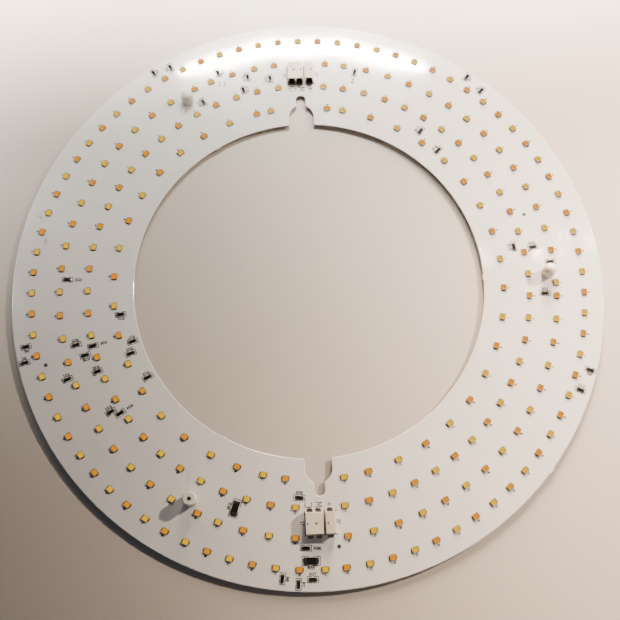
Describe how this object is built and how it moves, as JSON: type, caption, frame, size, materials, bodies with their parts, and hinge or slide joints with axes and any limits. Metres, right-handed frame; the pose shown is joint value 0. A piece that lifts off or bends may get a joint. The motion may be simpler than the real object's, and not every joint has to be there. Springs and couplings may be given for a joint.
{
  "type": "led module",
  "caption": "Flat white ring-shaped LED board with circles of cool and warm white LEDs, poke-in supply terminals, keyhole notches and plastic support posts.",
  "frame": {"origin": "on the ring's axis, level with the feet that the board stands on", "axes": "+Z out of the LED side, +Y through one keyhole and its terminals"},
  "size_m": [0.3, 0.3, 0.0111],
  "materials": {
    "board_mask": "glossy white solder mask on an aluminium core",
    "led_housing": "satin white moulded resin",
    "led_lead": "tinned",
    "cool_phosphor": "yellow phosphor in clear resin",
    "warm_phosphor": "orange phosphor in clear resin",
    "terminal_housing": "fine matt moulding",
    "terminal_contact": "tinned",
    "post_nylon": "natural, slightly waxy",
    "chip_ceramic": "bare",
    "chip_end": "tinned",
    "chip_coat": "black glaze"
  },
  "bodies": {
    "root": {"board": "board_mask", "led_housings_1": "led_housing", "led_housings_2": "led_housing", "led_housings_3": "led_housing", "led_housings_4": "led_housing", "led_leads_1": "led_lead", "led_leads_2": "led_lead", "led_leads_3": "led_lead", "led_leads_4": "led_lead", "cool_phosphors_1": "cool_phosphor", "cool_phosphors_2": "cool_phosphor", "cool_phosphors_3": "cool_phosphor", "cool_phosphors_4": "cool_phosphor", "warm_phosphors_1": "warm_phosphor", "warm_phosphors_2": "warm_phosphor", "warm_phosphors_3": "warm_phosphor", "warm_phosphors_4": "warm_phosphor", "two_pole_housing_top": "terminal_housing", "one_pole_housing_top": "terminal_housing", "two_pole_housing_bottom": "terminal_housing", "one_pole_housing_bottom": "terminal_housing", "two_pole_contacts_top": "terminal_contact", "one_pole_contact_top": "terminal_contact", "two_pole_contacts_bottom": "terminal_contact", "one_pole_contact_bottom": "terminal_contact", "domed_post_right": "post_nylon", "domed_post_upper_left": "post_nylon", "open_post_lower_left": "post_nylon", "small_chip_bodies": "chip_ceramic", "small_chip_ends": "chip_end", "small_chip_coats": "chip_coat", "large_chip_bodies": "chip_ceramic", "large_chip_ends": "chip_end", "large_chip_coats": "chip_coat"}
  },
  "joints": []
}
